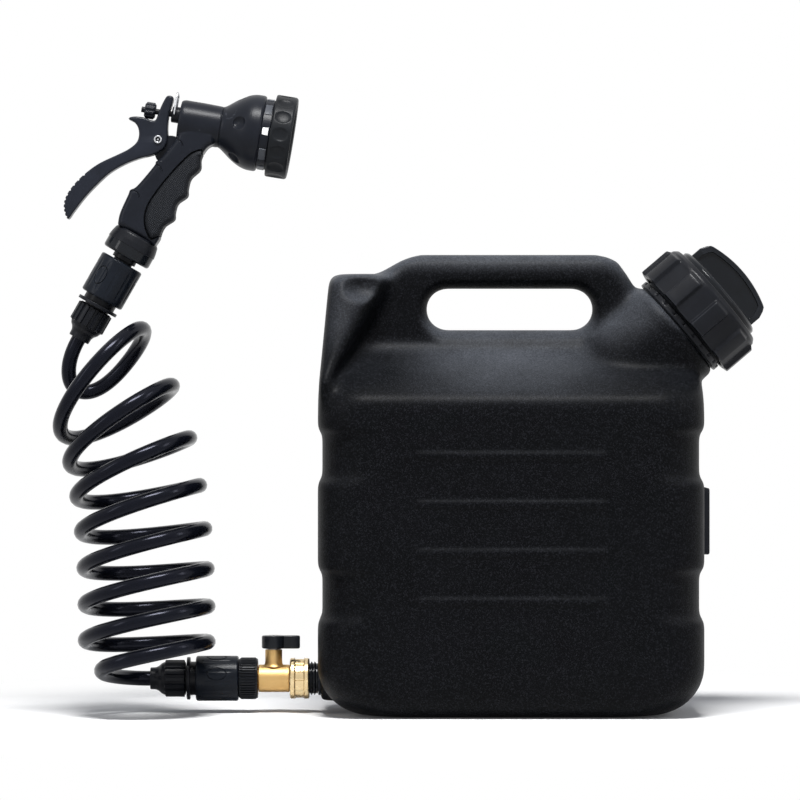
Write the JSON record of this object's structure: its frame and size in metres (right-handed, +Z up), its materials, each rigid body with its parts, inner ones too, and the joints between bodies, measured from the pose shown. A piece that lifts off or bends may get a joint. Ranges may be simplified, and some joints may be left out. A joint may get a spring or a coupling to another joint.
{
  "type": "portable water tank with hose and spray gun",
  "caption": "Jerry-can style water tank with a clamped screw lid, a ball valve at its foot, a coiled hose on quick connectors and a trigger spray gun.",
  "frame": {"origin": "middle of the tank's flat base, on the floor", "axes": "+X from the hose side towards the lid, +Y away from the viewer of the picture, +Z up"},
  "size_m": [0.566, 0.1902, 0.4954],
  "materials": {
    "tank_plastic": "satin with a fine moulded grain",
    "satin_plastic": "satin",
    "gloss_plastic": "gloss",
    "hose_plastic": "gloss",
    "grip_rubber": "stippled matt",
    "seal_rubber": "matt",
    "brass": "turned",
    "bright_chrome": "polished",
    "steel": "bright",
    "white_seat": "smooth"
  },
  "bodies": {
    "tank": {"tank_shell": "tank_plastic", "side_pad": "seal_rubber", "neck_ring": "satin_plastic", "spigot": "satin_plastic", "spigot_gasket": "seal_rubber", "hose_washer": "seal_rubber", "valve_body": "brass", "near_seat": "white_seat", "far_seat": "white_seat", "valve_outlet": "brass", "tap_adapter": "satin_plastic", "adapter_washer": "seal_rubber", "adapter_o_ring": "seal_rubber", "connector_core_a": "satin_plastic", "clamp_nut_a": "satin_plastic", "sleeve_spring_a": "steel", "hose_lower_lead": "hose_plastic", "hose_coil": "hose_plastic", "hose_upper_lead": "hose_plastic", "clamp_nut_b": "satin_plastic", "connector_core_b": "satin_plastic", "sleeve_spring_b": "steel"},
    "swivel_nut": {"swivel_nut": "brass"},
    "valve_key": {"valve_ball": "bright_chrome", "valve_stem": "brass", "stem_o_ring": "seal_rubber", "valve_handle": "satin_plastic", "handle_screw": "steel"},
    "sleeve_a": {"connector_sleeve_a": "satin_plastic"},
    "sleeve_b": {"connector_sleeve_b": "satin_plastic"},
    "cap": {"lid_cap": "gloss_plastic", "lid_gasket": "seal_rubber"},
    "lid_ring": {"lid_ring": "satin_plastic"},
    "gun": {"gun_body": "satin_plastic", "grip_overlay": "grip_rubber", "gun_nipple": "satin_plastic", "gun_o_ring": "seal_rubber", "handle_collar": "gloss_plastic", "spray_head": "satin_plastic", "plunger_gland": "satin_plastic", "plunger_spring": "steel", "trigger_pin": "steel"},
    "dial": {"pattern_dial": "satin_plastic", "spray_plate": "satin_plastic"},
    "trigger": {"trigger": "satin_plastic"},
    "plunger": {"plunger": "satin_plastic", "plunger_seal": "seal_rubber"},
    "knob": {"flow_knob": "satin_plastic"},
    "bail": {"hold_open_bail": "steel"}
  },
  "joints": [
    {"name": "cap_lift", "type": "slide", "parent": "tank", "child": "cap", "axis": [0.7604, 0, 0.6494], "range_m": [0, 0.09]},
    {"name": "lid_turn", "type": "hinge", "parent": "cap", "child": "lid_ring", "pos_m": [0.1394, 0, 0.3117], "axis": [0.7604, 0, 0.6494], "continuous": true},
    {"name": "swivel_nut_turn", "type": "hinge", "parent": "tank", "child": "swivel_nut", "pos_m": [-0.1678, 0, 0.027], "axis": [1, 0, 0], "continuous": true},
    {"name": "valve_turn", "type": "hinge", "parent": "tank", "child": "valve_key", "pos_m": [-0.1886, 0, 0.05], "axis": [0, 0, 1], "range_deg": [0, 90]},
    {"name": "sleeve_pull_a", "type": "slide", "parent": "tank", "child": "sleeve_a", "axis": [-1, 0, 0], "range_m": [0, 0.004], "stiffness_N_per_m": 2000, "springref_m": -0.003, "deforming": ["sleeve_spring_a"]},
    {"name": "sleeve_pull_b", "type": "slide", "parent": "tank", "child": "sleeve_b", "axis": [-0.4963, 0, -0.8682], "range_m": [0, 0.004], "stiffness_N_per_m": 2000, "springref_m": -0.003, "deforming": ["sleeve_spring_b"]},
    {"name": "gun_swivel", "type": "hinge", "parent": "tank", "child": "gun", "pos_m": [-0.3096, 0, 0.3596], "axis": [0.4963, 0, 0.8682], "continuous": true},
    {"name": "dial_turn", "type": "hinge", "parent": "gun", "child": "dial", "pos_m": [-0.2642, 0, 0.4732], "axis": [0.987, 0, -0.161], "continuous": true},
    {"name": "trigger_squeeze", "type": "hinge", "parent": "gun", "child": "trigger", "pos_m": [-0.2808, 0, 0.4576], "axis": [0, -1, 0], "range_deg": [0, 13], "stiffness_Nm_per_rad": 2.5, "springref_deg": -11.46},
    {"name": "plunger_slide", "type": "slide", "parent": "gun", "child": "plunger", "axis": [-0.987, 0, 0.161], "range_m": [0, 0.006], "deforming": ["plunger_spring"]},
    {"name": "knob_turn", "type": "hinge", "parent": "plunger", "child": "knob", "pos_m": [-0.26356, 0, 0.47715], "axis": [0.987, 0, -0.161], "continuous": true},
    {"name": "bail_turn", "type": "hinge", "parent": "gun", "child": "bail", "pos_m": [-0.2677, 0, 0.47782], "axis": [0, -1, 0], "range_deg": [-8, 12]}
  ],
  "couplings": [
    {"joint": "plunger_slide", "follows": "trigger_squeeze", "m_per_rad": 0.025}
  ]
}
